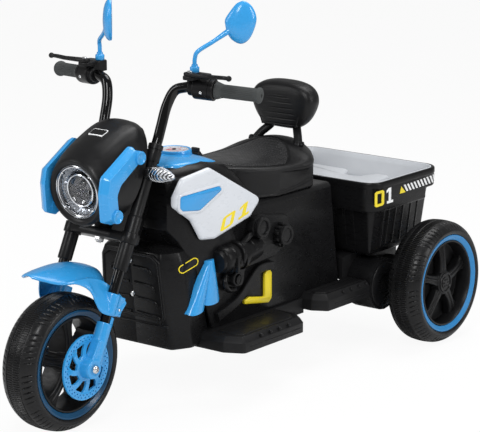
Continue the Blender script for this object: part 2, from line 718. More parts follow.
def cowl_loft(inset, front=0.0, back=0.0):
    """Solid of the cowl, drawn in by inset and lengthened at either end."""
    back_mid = steer(0, COWL_BACK, 0.327)
    axis = Vector((0.0, -math.cos(RIM_TILT), math.sin(RIM_TILT)))
    wide = COWL_HALF_WIDTH
    rim = RIM_RADIUS
    tail = back_mid - AXIS_AHEAD * back
    noses = [RIM_CENTRE + axis * front, RIM_CENTRE] if front else [RIM_CENTRE]
    sections = [(nose.y, nose.z, rim - 0.002, rim - 0.002, rim - 0.002, RIM_TILT, 0.0) for nose in noses]
    sections += [
        (RIM_CENTRE.y + 0.006, RIM_CENTRE.z + 0.001, rim + 0.003, rim + 0.003, rim + 0.003, RIM_TILT, 0.0),
        (RIM_CENTRE.y + 0.022, RIM_CENTRE.z + 0.006, rim + 0.009, rim + 0.013, rim + 0.005, 0.0, 0.1),
        (RIM_CENTRE.y + 0.048, RIM_CENTRE.z + 0.013, wide - 0.002, 0.085, 0.070, 0.17, 0.25),
        (back_mid.y - 0.014, back_mid.z + 0.004, wide, 0.099, 0.080, 0.35, 0.4),
        (tail.y, tail.z, wide, 0.102, 0.080, RAKE, 0.4),
    ]
    return loft([cowl_section(y, z, a - inset, u - inset, d - inset, t, q) for y, z, a, u, d, t,
                 q in sections])


def headlight_cowl(pivot):
    """Black nacelle round the lamp, open at the front and the back."""
    past = 0.02
    shell = cut(cowl_loft(0.0), cowl_loft(WALL, front=past, back=past))
    add("headlight_cowl", shell, BLACK, pivot, AXIS_FOOT)


def lamp_axis():
    """Direction in which the lamp looks."""
    return Vector((0.0, -math.cos(RIM_TILT), math.sin(RIM_TILT)))


def headlight(pivot):
    """Silver bowl with its bulb and rim, and the clear lens in front of it."""
    outer = RIM_RADIUS - 0.002 - WALL - GAP
    seat = LENS_RADIUS + GAP
    back = -0.014 - GAP
    bowl = [(0.0, back - LAMP_DEPTH), (0.020, back - LAMP_DEPTH), (LENS_RADIUS - 0.002, back - 0.004),
            (outer, back - 0.004), (outer, 0.0040), (outer - 0.004, 0.0050), (seat, -0.0020), (seat, back),
            (LENS_RADIUS - 0.006, back), (0.024, back - LAMP_DEPTH + 0.006),
            (0.009, back - LAMP_DEPTH + 0.005),
            (0.008, back - 0.008), (0.0, back - 0.006)]
    add("headlight_bowl", turned(bowl, RIM_CENTRE, lamp_axis(), 24), SILVER, pivot, AXIS_FOOT)
    thick = 0.0030
    lens = [(0.0, -0.0035), (LENS_RADIUS * 0.6, -0.0055), (LENS_RADIUS, -0.0130), (LENS_RADIUS, -0.0060),
            (LENS_RADIUS * 0.6, -0.0055 + thick), (0.0, -0.0035 + thick)]
    add("headlight_lens", turned(lens, RIM_CENTRE, lamp_axis(), 24), CLEAR, pivot, AXIS_FOOT)


def cowl_brackets(pivot):
    """Blue elbowed arms on the cowl's flanks with a round boss at each end."""
    outline = rounded([(RIM_CENTRE.y + back, RIM_CENTRE.z + up) for back, up in
                       ((0.0920, 0.0530), (0.0710, 0.0810), (-0.0050, 0.0350), (-0.0110, 0.0080),
                        (-0.0070, -0.0420),
                        (0.0170, -0.0510), (0.0310, -0.0380), (0.0260, 0.0), (0.0350, 0.0140))], 0.006, 1)
    plate = loft([in_plane(outline, "x", 0.0560), in_plane(outline, "x", 0.0650),
                  in_plane(shrunk(outline, 0.0070), "x", BRACKET_FACE)])
    bosses = []
    for back, up in ((0.0790, 0.0590), (0.0180, -0.0340)):
        y, z = RIM_CENTRE.y + back, RIM_CENTRE.z + up
        bosses.append(rod((0.0560, y, z), (BRACKET_FACE + 0.0045, y, z), 0.0115, 14))
    arm = cut(joined(plate, *bosses), cowl_loft(-2 * GAP))
    add_pair("cowl_bracket", arm, BLUE, pivot, AXIS_FOOT)


def turn_signals(pivot):
    """Clear teardrop lenses on the yoke's ends."""
    r, length = SIGNAL_RADIUS, SIGNAL_LENGTH
    profile = [(0.0, 0.0), (r * 0.72, 0.0), (r * 0.97, length * 0.16), (r, length * 0.30),
               (r * 0.83, length * 0.58), (r * 0.45, length * 0.85), (0.0, length)]
    place = steer(SIGNAL_START, SIGNAL_AHEAD, YOKE_LOW + YOKE_THICK / 2)
    add_pair("turn_signal", turned(profile, place, (1, 0, 0), 14), CLEAR, pivot, AXIS_FOOT)


# Handlebars with their grips, housings, levers, buttons and mirrors


def bar_direction():
    """Unit vector outwards along the left grip."""
    flat = math.cos(BAR_DROOP)
    return Vector((math.cos(BAR_SWEEP) * flat, math.sin(BAR_SWEEP) * flat, -math.sin(BAR_DROOP)))


def on_bar(inwards):
    """Point on the left bar's axis at a distance inwards from the grip's end."""
    return GRIP_END - bar_direction() * inwards


def fork_bars(pivot):
    """Bent tubes, each running from its fork foot through the sleeve to the end of its grip."""
    collar = steer(LEG_SPREAD, 0, COLLAR_TOP + 0.012)
    curve = smooth_path([collar] + BAR_BENDS + [on_bar(BAR_STRAIGHT)], 3)
    path = [steer(LEG_SPREAD, 0, TUBE_LOW), steer(LEG_SPREAD, 0,
                                                  COLLAR_TOP + 0.002)] + curve + [on_bar(0.004)]
    add_pair("fork_bar", swept(path, TUBE_RADIUS), GLOSS, pivot, AXIS_FOOT)


def grips(pivot):
    """Rubber sleeves with a flange at the inner end and a rounded outer end."""
    bore = TUBE_RADIUS + GAP
    r = GRIP_RADIUS
    flange = r + GRIP_FLANGE
    profile = [(0.0, -0.0040 + GAP), (bore, -0.0040 + GAP), (bore, -GRIP_LENGTH), (flange, -GRIP_LENGTH),
               (flange, -GRIP_LENGTH + 0.004), (r, -GRIP_LENGTH + 0.007), (r, -0.007), (r + 0.0018, -0.004),
               (r + 0.0010, 0.001), (0.0, 0.001)]
    add_pair("grip", turned(profile, GRIP_END, bar_direction(), 14), RUBBER, pivot, AXIS_FOOT)


def housing_middle():
    """Point on the left bar at the middle of the switch housing."""
    return on_bar(GRIP_LENGTH + GAP + HOUSING_LENGTH / 2)


def lever_pivot():
    """Point on the left lever's axis, at the lever's underside."""
    here = housing_middle()
    return here + Vector((-LEVER_INWARDS, -LEVER_AHEAD, HOUSING_RADIUS + LEVER_ABOVE))


def mirror_foot():
    """Point on the left mirror's swivel axis, at the housing's top plate."""
    here = housing_middle()
    return here + Vector((-MIRROR_INWARDS, 0.002, HOUSING_RADIUS + PERCH_THICK))


def switch_housings(pivot):
    """Clamps round the bars with the lever's perch, the mirror's seat and a button well."""
    direction = bar_direction()
    middle = housing_middle()
    start = middle - direction * HOUSING_LENGTH / 2
    end = middle + direction * HOUSING_LENGTH / 2
    body = rod(start, end, HOUSING_RADIUS, 16)
    neck = rod(start - direction * 0.010, start + direction * 0.004, TUBE_RADIUS + 0.005)
    pin = lever_pivot()
    high = mirror_foot().z
    x, y = middle.x, middle.y
    seat = slab(rounded([(x - 0.034, y - 0.011), (x - 0.020, y - 0.0125), (x + 0.012, y - 0.0120),
                         (x + 0.006, y + 0.012), (x - 0.034, y + 0.014)], 0.004, 2),
                "z", middle.z + HOUSING_RADIUS * 0.35, high, 0.002)
    shelf = pin.z - GAP
    tongue = slab(rounded([(pin.x - 0.013, y - 0.008), (pin.x - 0.012, pin.y - 0.008),
                           (pin.x + 0.010, pin.y - 0.008), (pin.x + 0.013, y - 0.008)], 0.005, 2),
                  "z", shelf - PERCH_THICK, shelf)
    post = rod((pin.x, pin.y, shelf - 0.004), (pin.x, pin.y, pin.z + LEVER_THICK + 0.0025), PIN_RADIUS, 10)
    well = button_well()
    hole = rod(well["face"] + well["out"] * 0.02, well["face"] - well["out"] * BUTTON_DEEP,
               BUTTON_RADIUS + RUNNING, 14)
    bore = rod(start - direction * 0.05, end + direction * 0.05, TUBE_RADIUS + GAP)
    add_pair("switch_housing", cut(joined(body, neck, seat, tongue, post), bore, hole), BLACK, pivot,
             AXIS_FOOT)


def button_well():
    """Where the thumb button sits: face point and outward direction, left side."""
    out = Vector((0.0, math.cos(math.radians(25)), math.sin(math.radians(-25))))
    face = housing_middle() + bar_direction() * 0.004 + out * HOUSING_RADIUS
    return {"face": face, "out": out}


def thumb_button(name, sign, pivot):
    """Round push button in the housing's rear face."""
    well = button_well()
    start = well["face"] - well["out"] * (BUTTON_DEEP - BUTTON_TRAVEL - GAP)
    end = well["face"] + well["out"] * 0.0030
    shape = rod(start, end, BUTTON_RADIUS, 14)
    origin = well["face"].copy()
    if sign < 0:
        shape = mirrored(shape)
        origin.x = -origin.x
    add(name, shape, BLUE if sign > 0 else YELLOW, pivot, origin)


def brake_levers(pivot):
    """Flat levers in front of the grips, each turning on its perch's pin."""
    pin = lever_pivot()
    reach = LEVER_LENGTH
    outline = rounded([(-0.010, -0.0075), (0.012, -0.0090), (0.045, -0.0075), (reach - 0.012, 0.0000),
                       (reach, -0.0010), (reach + 0.001, 0.0075), (reach - 0.014, 0.0085), (0.045, 0.0030),
                       (0.012, 0.0080), (-0.010, 0.0075)], 0.0030, 1)
    plate = slab([Vector((pin.x + p.x, pin.y + p.y)) for p in outline], "z", pin.z, pin.z + LEVER_THICK)
    hole = rod((pin.x, pin.y, pin.z - 0.01), (pin.x, pin.y, pin.z + 0.02), PIN_RADIUS + RUNNING, 10)
    add_pair("brake_lever", cut(plate, hole), BLACK, pivot, pin)


def mirror_shapes():
    """Mirror with its foot nut and bent stem, and its glass, as they stand on the left."""
    foot = mirror_foot()
    facing = Vector((math.sin(MIRROR_TOE_OUT), -math.cos(MIRROR_TOE_OUT), 0.0))
    across = Vector((math.cos(MIRROR_TOE_OUT), math.sin(MIRROR_TOE_OUT), 0.0))
    up = Vector((0.0, 0.0, 1.0))
    nut = rod(foot + up * GAP, foot + up * 0.014, 0.0068, 10, 0.0058)
    join = MIRROR_CENTRE - across * (MIRROR_WIDTH * 0.30) - up * (MIRROR_HEIGHT * 0.16)
    path = [foot + up * 0.010, foot + up * 0.024 + across * 0.0005, foot + up * 0.0365 + across * 0.006,
            foot.lerp(join, 0.52) + up * 0.0150, join]
    stem = swept(smooth_path(path, 2), MIRROR_STEM_RADIUS, 8)
    outline = [(-0.476, 0.010), (-0.424, -0.20), (-0.29, -0.39), (-0.04, -0.50), (0.176, -0.447),
               (0.35, -0.258),
               (0.467, 0.078), (0.35, 0.353), (0.13, 0.494), (-0.06, 0.471), (-0.205, 0.376),
               (-0.438, 0.118)]

    def head_loop(scale, depth, shift=0.0):
        points = rounded([(u * MIRROR_WIDTH * scale, v * MIRROR_HEIGHT * scale) for u, v in outline], 0.010,
                         1)
        middle = MIRROR_CENTRE + facing * depth - across * shift - up * (shift * 0.4)
        return [middle + across * p.x + up * p.y for p in points]

    half = MIRROR_THICK / 2
    head = loft([head_loop(0.97, -half), head_loop(1.0, -half + 0.003), head_loop(0.84, 0.0, 0.002),
                 head_loop(0.32, half, 0.008)])
    recess = loft([head_loop(0.88, -half - 0.01), head_loop(0.88, -half + 0.0025)])
    glass = loft([head_loop(0.865, -half + GAP), head_loop(0.865, -half + 0.0022)])
    return cut(joined(head, nut, stem), recess), glass


def mirrors(pivot):
    """Both mirrors; the same moulding serves on the right, swivelled round its foot."""
    left_foot = mirror_foot()
    right_foot = Vector((-left_foot.x, left_foot.y, left_foot.z))
    for side, foot, turn in (("left", left_foot, 0.0), ("right", right_foot, MIRROR_RIGHT_TURN)):
        place = Matrix.Translation(foot) @ Matrix.Rotation(turn, 4, "Z") @ Matrix.Translation(-left_foot)
        for name, shape, finish in zip(("mirror_", "mirror_glass_"), mirror_shapes(), (BLUE, SILVER)):
            shape.transform(place)
            add(name + side, shape, finish, pivot, foot)


# Body


def body_section(y, half, low, high, corner, inset):
    """Rounded box section of the body at one place along the bike."""
    outline = rounded([(-half + inset, low + inset), (half - inset, low + inset),
                       (half - inset, high - inset), (-half + inset, high - inset)],
                      [0.004, 0.004, max(corner - inset, 0.002), max(corner - inset, 0.002)], 3)
    return in_plane(outline, "y", y)


def spine_loft(inset, low=None):
    """Tank and central body as one closed form, drawn in by inset."""
    half = BODY_HALF_WIDTH
    floor = DECK_TOP - 0.004 if low is None else low
    front, back = BODY_FRONT + inset, BODY_BACK - inset
    stations = [
        (front, half - 0.034, 0.318, 0.412, 0.024),
        (front + 0.014, half - 0.020, 0.298, 0.425, 0.026),
        (front + 0.050, half - 0.008, 0.240, 0.431, 0.028),
        (front + 0.085, half, floor, 0.431, 0.030),
        (DIAL_Y + 0.042, half, floor, 0.421, 0.030),
        (DIAL_Y + 0.071, half, floor, 0.400, 0.028),
        (DIAL_Y + 0.101, half, floor, 0.366, 0.022),
        (DIAL_Y + 0.129, half, floor, SEAT_SEAM, 0.010),
        (back, half, floor, SEAT_SEAM, 0.010),
    ]
    return loft([body_section(y, w, lo, hi, c, inset) for y, w, lo, hi, c in stations])


def front_shell_loft(inset, low=None):
    """Tapered box behind the front wheel, drawn in by inset."""
    floor = SHELL_LOW if low is None else low
    levels = []
    for z, draw in ((floor, 0.004), (SHELL_LOW + 0.006, 0.0), (0.150, 0.0), (SHELL_TOP - 0.022, 0.0),
                    (SHELL_TOP - 0.006, 0.006), (SHELL_TOP, 0.018)):
        lean = 0.100 * (z - SHELL_LOW)
        narrow = 0.060 * (z - SHELL_LOW)
        front = SHELL_FRONT - lean
        half = SHELL_HALF_WIDTH - narrow
        corners = [(-half, front), (half, front), (half + 0.019, front + 0.038), (half + 0.010, SHELL_BACK),
                   (-half - 0.010, SHELL_BACK), (-half - 0.019, front + 0.038)]
        outline = plan(corners, [0.014, 0.014, 0.020, 0.004, 0.004, 0.020], draw + inset)
        top = z - inset if z == SHELL_TOP else z
        levels.append(in_plane(outline, "z", top))
    return loft(levels)


def neck_block(inset):
    """Narrow web that carries the steering head in front of the body."""
    low, high = CROWN_LOW + CROWN_THICK + RUNNING, YOKE_LOW - RUNNING
    half = 0.020 - inset
    loops = []
    for up in (low, high):
        loops.append([steer(x, f, up) for x, f in ((-half, 0.0), (half, 0.0), (half, -0.080),
                                                   (-half, -0.080))])
    return loft(loops)


def body_shells():
    """Left and right halves of the main body, meeting on the centre plane."""
    outer = joined(spine_loft(0.0), front_shell_loft(0.0))
    under = DECK_LOW - 0.02
    shell = cut(outer, spine_loft(WALL, under), front_shell_loft(WALL, under), deck_block(-GAP))
    low, high = CROWN_LOW + CROWN_THICK + RUNNING, YOKE_LOW - RUNNING
    bore = STEM_RADIUS + RUNNING
    head = rod(steer(0, 0, low), steer(0, 0, high), bore + NECK_WALL, 16)
    trims = engine_trim()
    shell = joined(shell, neck_block(0.0), head, mirrored(trims), trims)
    shell = cut(shell, rod(steer(0, 0, low - 0.02), steer(0, 0, high + 0.02), bore, 16))
    for side, sign in SIDES.items():
        keep = slab([Vector((-0.6, -0.1)), Vector((0.6, -0.1)), Vector((0.6, 0.8)), Vector((-0.6, 0.8))],
                    "x", sign * GAP / 2, sign * 0.5)
        add("body_shell_" + side, common(shell.copy(), keep), BLACK)
    shell.free()


def deck_outline(inset):
    """Plan of the deck's front boards, drawn in by inset."""
    w, f, b = BOARD_HALF_WIDTH, BOARD_FRONT, BOARD_BACK
    return plan([(-w + 0.034, f), (w - 0.034, f), (w, f + 0.018), (w, b - 0.024), (w - 0.026, b),
                 (-w + 0.026, b), (-w, b - 0.024), (-w, f + 0.018)], 0.008, inset, 2)


def deck_block(inset):
    """Front boards, centre and rear steps of the deck as one closed form."""
    front = loft([in_plane(deck_outline(inset), "z", DECK_LOW + inset),
                  in_plane(deck_outline(inset), "z", DECK_TOP - EDGE_CHAMFER),
                  in_plane(deck_outline(inset + EDGE_CHAMFER), "z", DECK_TOP - inset)])
    half = BODY_HALF_WIDTH + 0.006
    centre = slab([Vector((half - inset, BOARD_FRONT + 0.02)), Vector((half - inset, STEP_BACK - 0.02)),
                   Vector((-half + inset, STEP_BACK - 0.02)), Vector((-half + inset, BOARD_FRONT + 0.02))],
                  "z", DECK_LOW + inset, DECK_TOP - inset)
    return joined(front, centre)


def step_block(inset):
    """Raised rear steps on both sides of the deck, as one closed form across it."""
    w, f, b = STEP_HALF_WIDTH, STEP_FRONT, STEP_BACK
    corners = [(-w + 0.028, f), (w - 0.028, f), (w, f + 0.016), (w, b - 0.012), (w - 0.012, b),
               (-w + 0.012, b), (-w, b - 0.012), (-w, f + 0.016)]
    low = DECK_LOW + 0.008
    return loft([in_plane(plan(corners, 0.006, inset, 2), "z", low + inset),
                 in_plane(plan(corners, 0.006, inset, 2), "z", STEP_TOP - EDGE_CHAMFER),
                 in_plane(plan(corners, 0.006, inset + EDGE_CHAMFER, 2), "z", STEP_TOP - inset)])


def footboard_deck():
    """Deck with foot boards, rear steps and the carrier block that holds the rear axle."""
    boards = deck_block(0.0)
    steps = step_block(0.0)
    carrier = carrier_block(0.0)
    deck = joined(boards, steps, carrier)
    under = 0.02
    rooms = []
    for block in (deck_block(WALL), step_block(WALL), carrier_block(WALL)):
        for vert in block.verts:
            if vert.co.z < DECK_LOW + WALL + 0.012:
                vert.co.z -= under
        rooms.append(block)
    deck = cut(deck, *rooms)
    hole = rod((-CARRIER_HALF_WIDTH - 0.02, REAR_AXLE.y, REAR_AXLE.z),
               (CARRIER_HALF_WIDTH + 0.02, REAR_AXLE.y, REAR_AXLE.z), AXLE_RADIUS + GAP)
    half, start, end = BODY_HALF_WIDTH + GAP, STEP_FRONT - 0.035, BODY_BACK + GAP
    spine_room = slab([Vector((half, start)), Vector((half, end)), Vector((-half, end)),
                       Vector((-half, start))],
                      "z", DECK_TOP, DECK_TOP + 0.05)
    add("footboard_deck", joined(cut(deck, hole, spine_room), *pedal_hinge()), BLACK)


def carrier_block(inset):
    """Block under the rear box that carries the axle and the gearboxes."""
    half = CARRIER_HALF_WIDTH - inset
    front, back = STEP_BACK - 0.028 + inset, REAR_AXLE.y + 0.034 - inset
    outline = rounded([(front, DECK_LOW + inset), (back, DECK_LOW - 0.008 + inset),
                       (back, CARRIER_TOP - inset),
                       (front, CARRIER_TOP - inset)], 0.006, 2)
    return slab(outline, "x", -half, half)


def from_front(*points):
    """Points of a side view, (distance behind the body's front, height), as (y, z)."""
    return [(BODY_FRONT + back, z) for back, z in points]


def outer_form(grow):
    """Outside of the body, grown by a clearance, for trimming what lies on it."""
    return joined(spine_loft(-grow), front_shell_loft(-grow))


def side_panels():
    """Grey-white tank wings with their blue insets."""
    outline = rounded(from_front((0.0040, 0.4150), (0.0740, 0.4250), (0.2060, 0.3480), (0.1760, 0.3180),
                                 (0.0860, 0.2930), (0.0520, 0.2970), (0.0280, 0.3360), (-0.0170, 0.3680),
                                 (-0.0170, 0.3850)),
                      [0.012, 0.012, 0.010, 0.010, 0.008, 0.008, 0.010, 0.008, 0.008], 2)
    inset = rounded(from_front((-0.0040, 0.3848), (0.0940, 0.3895), (0.1010, 0.3810), (0.0448, 0.3522),
                               (0.0030, 0.3575), (-0.0040, 0.3640)), 0.005, 1)
    face = BODY_HALF_WIDTH + PANEL_PROUD
    plate = panel_lean(loft([in_plane(outline, "x", 0.052), in_plane(outline, "x", face - 0.006),
                             in_plane(shrunk(outline, 0.006), "x", face)]))
    lid = panel_lean(loft([in_plane(shrunk(inset, GAP), "x", face - 0.004),
                           in_plane(shrunk(inset, GAP), "x", face - 0.001),
                           in_plane(shrunk(inset, 0.003), "x", face + 0.003)]))
    pocket = panel_lean(loft([in_plane(inset, "x", face - 0.004 - GAP), in_plane(inset, "x", face + 0.02)]))
    add_pair("side_panel", cut(plate, outer_form(GAP), pocket), WHITE)
    add_pair("panel_inset", lid, BLUE)


def panel_lean(shape):
    """Lean a tank wing in towards the front, where the body narrows."""
    for vert in shape.verts:
        vert.co.x += (vert.co.y - PANEL_LEAN_FROM) * PANEL_LEAN
    return shape


def leg_shields():
    """Blue scalloped guards behind the front shell."""
    outline = rounded(from_front((0.0860, 0.2560), (0.0620, 0.2530), (0.0060, 0.1640), (0.0220, 0.1680),
                                 (0.0560, 0.1760), (0.0620, 0.1800), (0.1060, 0.1860)),
                      [0.004, 0.004, 0.002, 0.006, 0.004, 0.004, 0.008], 2)
    face = BODY_HALF_WIDTH + SHIELD_PROUD
    plate = slab(outline, "x", 0.05, face, 0.004)
    shield = cut(plate, outer_form(GAP))
    add_pair("leg_shield", shield, BLUE)


def engine_trim():
    """Moulded engine look of the left flank: cylinder, cover and pulleys on a raised plate."""
    face = BODY_HALF_WIDTH - 0.001
    back = rounded(from_front((0.112, 0.196), (0.127, 0.262), (0.192, 0.275), (0.212, 0.315),
                              (0.297, 0.300),
                              (0.317, 0.255), (0.262, 0.228), (0.172, 0.222), (0.168, 0.196)), 0.006, 1)
    plate = slab(back, "x", face, face + 0.007, 0.002)
    bits = []
    for radius, ends in ((0.0200, ((0.114, 0.240), (0.202, 0.256))), (0.0240, ((0.150, 0.2466),
                                                                               (0.160, 0.2484)))):
        start, end = from_front(*ends)
        bits.append(rod((face + 0.006, *start), (face + 0.006, *end), radius, 12))
    for place, radius, proud in (((0.202, 0.292), 0.0180, 0.024), ((0.274, 0.268), 0.0170, 0.022),
                                 ((0.140, 0.209), 0.0100, 0.020)):
        centre = from_front(place)[0]
        bits.append(rod((face + 0.002, *centre), (face + proud, *centre), radius, 16))
    inside = slab([Vector(p) for p in from_front((0.0, 0.1), (0.4, 0.1), (0.4, 0.4), (0.0, 0.4))],
                  "x", face - 0.06, face)
    return cut(joined(plate, *bits), inside)


def foot_guards():
    """Yellow L-shaped strips at the back of the front boards."""
    face = BODY_HALF_WIDTH + GAP
    outline = rounded(from_front((0.2320, 0.1985), (0.2440, 0.2080), (0.2530, 0.1985), (0.2530, 0.1500),
                                 (0.2440, 0.1425), (0.1725, 0.1545), (0.1695, 0.1620), (0.1860, 0.1655),
                                 (0.2320, 0.1560)),
                      [0.002, 0.003, 0.002, 0.010, 0.010, 0.004, 0.004, 0.002, 0.002], 1)
    guard = slab(outline, "x", face, face + GUARD_PROUD, 0.001)
    add_pair("foot_guard", guard, YELLOW)


def tank_cover():
    """Blue saddle over the tank with the raised ring of the dial."""
    loops_out, loops_in = [], []
    stations = [(-0.079, 0.62, 0.4305), (-0.063, 0.88, 0.4360), (-0.023, 1.0, 0.4370),
                (0.017, 1.0, 0.4330), (0.047, 0.95, 0.4230), (0.077, 0.80, 0.4080)]
    for from_dial, width, top in stations:
        y = DIAL_Y + from_dial
        half = COVER_HALF_WIDTH * width
        crown = [(-1.0, -0.0140), (-0.80, -0.0040), (-0.45, 0.0), (0.0, 0.0010), (0.45, 0.0),
                 (0.80, -0.0040),
                 (1.0, -0.0140)]
        loops_out.append([Vector((u * half, y, top + rise)) for u, rise in crown])
        loops_in.append([Vector((u * half, y, top + rise - 0.020)) for u, rise in crown])
    sheet = loft([a + list(reversed(b)) for a, b in zip(loops_out, loops_in)])
    floor, lip = DIAL_TOP - DIAL_THICK - GAP, DIAL_RADIUS + GAP
    ring = turned([(0.0, 0.400), (lip + 0.006, 0.400), (lip + 0.0045, DIAL_TOP - 0.004), (lip + 0.0022,
                                                                                          DIAL_TOP),
                   (lip, DIAL_TOP), (lip, floor), (0.0, floor)], (0, DIAL_Y, 0), (0, 0, 1), 24)
    room = rod((0, DIAL_Y, 0.39), (0, DIAL_Y, 0.46), lip + 0.002, 20)
    key_hole = rod((0, KEY_Y, KEY_SEAT - 0.006), (0, KEY_Y, 0.46), KEY_STEM + RUNNING)
    cover = cut(joined(cut(sheet, room), ring), outer_form(GAP), key_hole)
    add("tank_cover", cover, BLUE)


def dash_dial():
    """Round instrument face under the rider's eye."""
    top = DIAL_TOP - 0.0005
    base = DIAL_TOP - DIAL_THICK
    profile = [(0.0, base), (DIAL_RADIUS, base), (DIAL_RADIUS, top - 0.001),
               (DIAL_RADIUS - 0.001, top), (0.0, top)]
    add("dash_dial", turned(profile, (0, DIAL_Y, 0), (0, 0, 1), 24), GREY)


def start_key():
    """Turning key behind the dial: round stem in the cover and a grip to turn it by."""
    origin = Vector((0.0, KEY_Y, KEY_SEAT))
    stem = rod(origin - Vector((0, 0, 0.0045)), origin + Vector((0, 0, 0.004)), KEY_STEM)
    skirt = rod(origin + Vector((0, 0, 0.0012)), origin + Vector((0, 0, 0.0045)), 0.0100, 16)
    bow = loft([in_plane(rounded([(-0.0085, KEY_Y - 0.0035), (0.0085, KEY_Y - 0.0035),
                                  (0.0085, KEY_Y + 0.0035),
                                  (-0.0085, KEY_Y + 0.0035)], 0.0025, 2), "z", KEY_SEAT + up)
                for up in (0.003, 0.0125)])
    add("start_key", joined(stem, skirt, bow), BLACK, None, origin)


def accelerator_pedal():
    """Hinged pedal on the right foot board."""
    heel = Vector((PEDAL_X, PEDAL_HEEL_Y, PEDAL_PIN_Z))
    half = PEDAL_WIDTH / 2
    section = [(0.0045, -0.0030), (0.0045, 0.0030), (0.0, 0.0050), (-PEDAL_LENGTH, 0.0050 + PEDAL_RISE),
               (-PEDAL_LENGTH, 0.0005 + PEDAL_RISE), (0.0, -0.0035)]
    plate = loft([[Vector((x, heel.y + a, heel.z + b)) for a, b in section]
                  for x in (heel.x - half, heel.x + half)])
    bore = rod(heel - Vector((half + 0.01, 0, 0)), heel + Vector((half + 0.01, 0, 0)),
               PEDAL_PIN_RADIUS + RUNNING, 10)
    add("accelerator_pedal", cut(plate, bore), BLACK, None, heel)


def pedal_hinge():
    """Two ears on the deck and the pin between them, which the pedal turns on."""
    heel = Vector((PEDAL_X, PEDAL_HEEL_Y, PEDAL_PIN_Z))
    half = PEDAL_WIDTH / 2
    reach = Vector((half + 0.004, 0, 0))
    low = DECK_TOP - 0.001
    parts = []
    for sign in (1, -1):
        ear = rounded([(heel.y - 0.006, low), (heel.y + 0.008, low), (heel.y + 0.005, heel.z + 0.005),
                       (heel.y - 0.005, heel.z + 0.005)], 0.001, 1)
        near = heel.x + sign * (half + RUNNING)
        parts.append(slab(ear, "x", near, near + sign * 0.006))
    return [rod(heel - reach, heel + reach, PEDAL_PIN_RADIUS, 10)] + parts


def seat_section(y, half, bottom, edge, crown):
    """Section of the seat: drawn-in skirt, firm edge and crowned top."""
    base = min(half, BODY_HALF_WIDTH)
    side = [(base - 0.004, bottom), (base - 0.001, bottom + (edge - bottom) * 0.45), (half - 0.001,
                                                                                      edge - 0.010),
            (half, edge - 0.004), (half - 0.005, edge + 0.0015), (half * 0.72,
                                                                  edge + (crown - edge) * 0.75)]
    right = [(x, z) for x, z in side] + [(0.0, crown)]
    left = [(-x, z) for x, z in reversed(side)]
    return in_plane(right + left, "y", y)


def seat():
    """Saddle with a narrow nose, wide rear and raised back edge, fitted to the body below."""
    wide = SEAT_HALF_WIDTH
    low = SEAT_SEAM + GAP
    stations = [
        (0.0, 0.28, 0.388, 0.3955, 0.3990), (0.0292, 0.42, 0.378, 0.3950, 0.4020),
        (0.1241, 0.62, 0.352, 0.3930, 0.4030), (0.2482, 0.78, low, 0.3900, 0.4000),
        (0.3942, 0.91, low, 0.3870, 0.3970), (0.5401, 0.98, low, 0.3850, 0.3970),
        (0.6679, 1.0, low, 0.3840, 0.4050), (0.7518, 0.955, low, 0.3870, 0.4150),
        (0.8175, 0.84, low, 0.3890, 0.4180), (0.8869, 0.69, low, 0.3890, 0.4170),
        (0.9526, 0.54, low, 0.3860, 0.4100), (1.0, 0.36, low, 0.3780, 0.3930),
    ]
    length = SEAT_REAR_Y - SEAT_NOSE_Y
    body = loft([seat_section(SEAT_NOSE_Y + share * length, wide * width, *heights)
                 for share, width, *heights in stations])
    hoop = swept(hoop_path(0.001), POST_RADIUS + 2 * GAP, 10)
    add("seat", cut(body, outer_form(GAP), hoop), VINYL)


def post_foot(sign):
    """Where a backrest post leaves the seat."""
    return Vector((sign * POST_SPREAD, POST_Y, POST_Z))


def hoop_path(longer=0.0):
    """Points along the backrest's tube: up one side, across inside the pad, down the other."""
    foot = post_foot(1)
    bottom = BACKREST_CENTRE.z - BACKREST_HEIGHT / 2
    knee = Vector((0.030, BACKREST_CENTRE.y - 0.004, bottom + 0.004))
    half = [foot - Vector((0, 0, POST_DEEP + longer)), foot, foot.lerp(knee, 0.5) + Vector((0.003, -0.003,
                                                                                            0)), knee,
            Vector((0.027, BACKREST_CENTRE.y - 0.002, bottom + 0.022)),
            Vector((0.012, BACKREST_CENTRE.y - 0.002, bottom + 0.032))]
    return smooth_path(half + [Vector((-p.x, p.y, p.z)) for p in reversed(half)], 2)


def backrest_hoop():
    """One bent tube from the seat up through the backrest and down again."""
    add("backrest_hoop", swept(hoop_path(), POST_RADIUS, 10), GLOSS)


def backrest():
    """Rounded pad, broad at the top, standing on its hoop."""
    centre = BACKREST_CENTRE
    outline = rounded([(-0.62, -0.50), (0.62, -0.50), (0.98, 0.02), (0.92, 0.40), (0.40, 0.52),
                       (-0.40, 0.52),
                       (-0.92, 0.40), (-0.98, 0.02)], 0.20, 2)

    def loop(scale, depth, tip):
        return [centre + Vector((p.x * BACKREST_HALF_WIDTH * scale, depth,
                                 p.y * BACKREST_HEIGHT * scale + tip)) for p in outline]

    half = BACKREST_THICK / 2
    pad = loft([loop(0.72, -half, 0.0), loop(0.92, -half + 0.007, 0.0), loop(1.0, -half + 0.018, 0.0),
                loop(1.0, half - 0.018, 0.001), loop(0.60, half, 0.002)])
    add("backrest", cut(pad, swept(hoop_path(), POST_RADIUS + 2 * GAP, 10)), VINYL)


def tub_plan(shrink):
    """Plan of the rear box's rim, drawn in by shrink."""
    w, f, b = TUB_HALF_WIDTH, TUB_FRONT, TUB_BACK
    return plan([(-w, f), (w, f), (w, b), (-w, b)], 0.034, shrink, 4)


